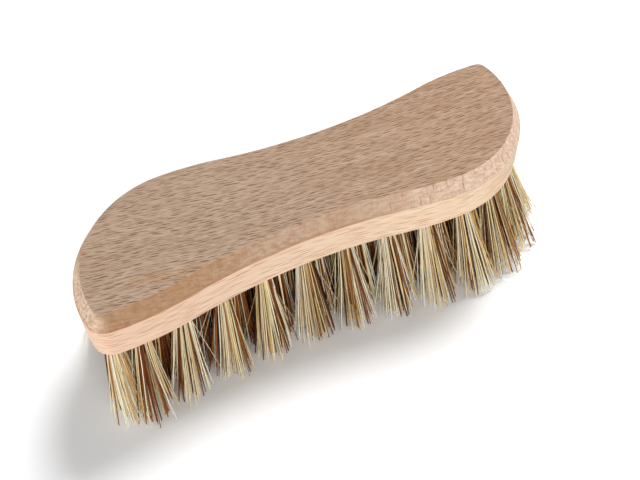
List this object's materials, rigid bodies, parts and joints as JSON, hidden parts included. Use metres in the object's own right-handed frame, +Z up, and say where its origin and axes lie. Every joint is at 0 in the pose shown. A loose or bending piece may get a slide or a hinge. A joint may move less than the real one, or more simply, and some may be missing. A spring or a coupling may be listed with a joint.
{
  "type": "scrub brush",
  "caption": "Hand scrub brush: an S-shaped wooden block, chamfered round its top, with flared tufts of mixed stiff fibre below.",
  "frame": {"origin": "middle of the S-shaped block in plan, on the plane that the fibre tips rest on", "axes": "+X along the block, +Z up out of the flat top of the block"},
  "size_m": [0.2226, 0.0934, 0.0635],
  "materials": {
    "beech": "sanded bare beech, pale sides, darker flat-sawn top with short pore dashes",
    "anchor_wire": "flat tinned steel wire",
    "union_fibre": "matte stiff plant fibres in mixed straw, cream, tan and dark brown"
  },
  "bodies": {
    "root": {"block": "beech", "anchors": "anchor_wire", "edge_tuft_01": "union_fibre", "edge_tuft_02": "union_fibre", "edge_tuft_03": "union_fibre", "edge_tuft_04": "union_fibre", "edge_tuft_05": "union_fibre", "edge_tuft_06": "union_fibre", "edge_tuft_07": "union_fibre", "edge_tuft_08": "union_fibre", "edge_tuft_09": "union_fibre", "edge_tuft_10": "union_fibre", "edge_tuft_11": "union_fibre", "edge_tuft_12": "union_fibre", "edge_tuft_13": "union_fibre", "edge_tuft_14": "union_fibre", "edge_tuft_15": "union_fibre", "edge_tuft_16": "union_fibre", "edge_tuft_17": "union_fibre", "edge_tuft_18": "union_fibre", "edge_tuft_19": "union_fibre", "edge_tuft_20": "union_fibre", "edge_tuft_21": "union_fibre", "edge_tuft_22": "union_fibre", "edge_tuft_23": "union_fibre", "edge_tuft_24": "union_fibre", "edge_tuft_25": "union_fibre", "edge_tuft_26": "union_fibre", "inner_row_1": "union_fibre", "inner_row_2": "union_fibre", "inner_row_3": "union_fibre", "inner_row_4": "union_fibre", "inner_row_5": "union_fibre"}
  },
  "joints": []
}
